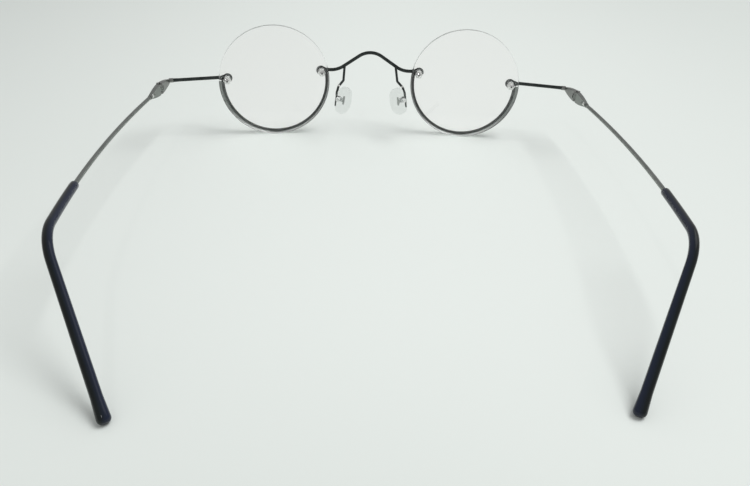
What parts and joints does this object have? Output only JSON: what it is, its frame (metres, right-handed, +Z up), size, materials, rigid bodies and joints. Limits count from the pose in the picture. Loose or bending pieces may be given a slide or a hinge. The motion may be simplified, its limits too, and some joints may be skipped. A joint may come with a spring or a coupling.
{
  "type": "semi-rimless reading glasses",
  "caption": "Semi-rimless reading glasses: round drilled lenses on half rims of dark wire, leaf hinges, folding wire temples with black sleeves, rocking nose pads.",
  "frame": {"origin": "centre of the bounding box of the open glasses, on the table that they stand on", "axes": "+X to the wearer's left, +Y back to the ears, +Z up from the table; the glasses stand on the lower edges of the lenses and on the temple tips, and the lens plane leans by the tilt that gives"},
  "size_m": [0.1392, 0.1412, 0.036],
  "materials": {
    "lens_glass": "polished, clear",
    "dark_wire": "dark gunmetal plating, semi-gloss",
    "titanium": "grey titanium, satin",
    "bright_steel": "polished",
    "clear_plastic": "clear",
    "clear_silicone": "clear, soft gloss",
    "black_sleeve": "high gloss"
  },
  "bodies": {
    "front": {"left_lens": "lens_glass", "right_lens": "lens_glass", "bridge": "dark_wire", "left_half_rim": "dark_wire", "right_half_rim": "dark_wire", "left_endpiece": "dark_wire", "right_endpiece": "dark_wire", "left_nose_eyelet": "dark_wire", "right_nose_eyelet": "dark_wire", "left_temple_eyelet": "dark_wire", "right_temple_eyelet": "dark_wire", "left_lens_screws": "bright_steel", "right_lens_screws": "bright_steel", "left_bushings": "clear_plastic", "right_bushings": "clear_plastic", "left_front_washers": "clear_plastic", "right_front_washers": "clear_plastic", "left_back_washers": "clear_plastic", "right_back_washers": "clear_plastic", "left_cap_nuts": "bright_steel", "right_cap_nuts": "bright_steel", "left_pad_arm": "dark_wire", "right_pad_arm": "dark_wire", "left_pad_screw": "bright_steel", "right_pad_screw": "bright_steel", "left_front_leaf": "titanium", "right_front_leaf": "titanium", "left_hinge_screw": "bright_steel", "right_hinge_screw": "bright_steel"},
    "left_pad": {"left_nose_pad": "clear_silicone", "left_pad_core": "titanium"},
    "right_pad": {"right_nose_pad": "clear_silicone", "right_pad_core": "titanium"},
    "left_temple": {"left_rear_leaf": "titanium", "left_temple_wire": "titanium", "left_temple_sleeve": "black_sleeve"},
    "right_temple": {"right_rear_leaf": "titanium", "right_temple_wire": "titanium", "right_temple_sleeve": "black_sleeve"}
  },
  "joints": [
    {"name": "left_temple_fold", "type": "hinge", "parent": "front", "child": "left_temple", "pos_m": [0.06533, -0.05538, 0.0183], "axis": [0, -0.0458, 0.999], "range_deg": [0, 90]},
    {"name": "right_temple_fold", "type": "hinge", "parent": "front", "child": "right_temple", "pos_m": [-0.06788, -0.05538, 0.0183], "axis": [0, 0.0458, -0.999], "range_deg": [-3, 83]},
    {"name": "left_pad_rock", "type": "hinge", "parent": "front", "child": "left_pad", "pos_m": [0.00883, -0.0585, 0.01495], "axis": [0.6111, 0.7838, 0.111], "range_deg": [-10, 10]},
    {"name": "right_pad_rock", "type": "hinge", "parent": "front", "child": "right_pad", "pos_m": [-0.01137, -0.0585, 0.01495], "axis": [-0.6111, 0.7838, 0.111], "range_deg": [-10, 10]}
  ]
}
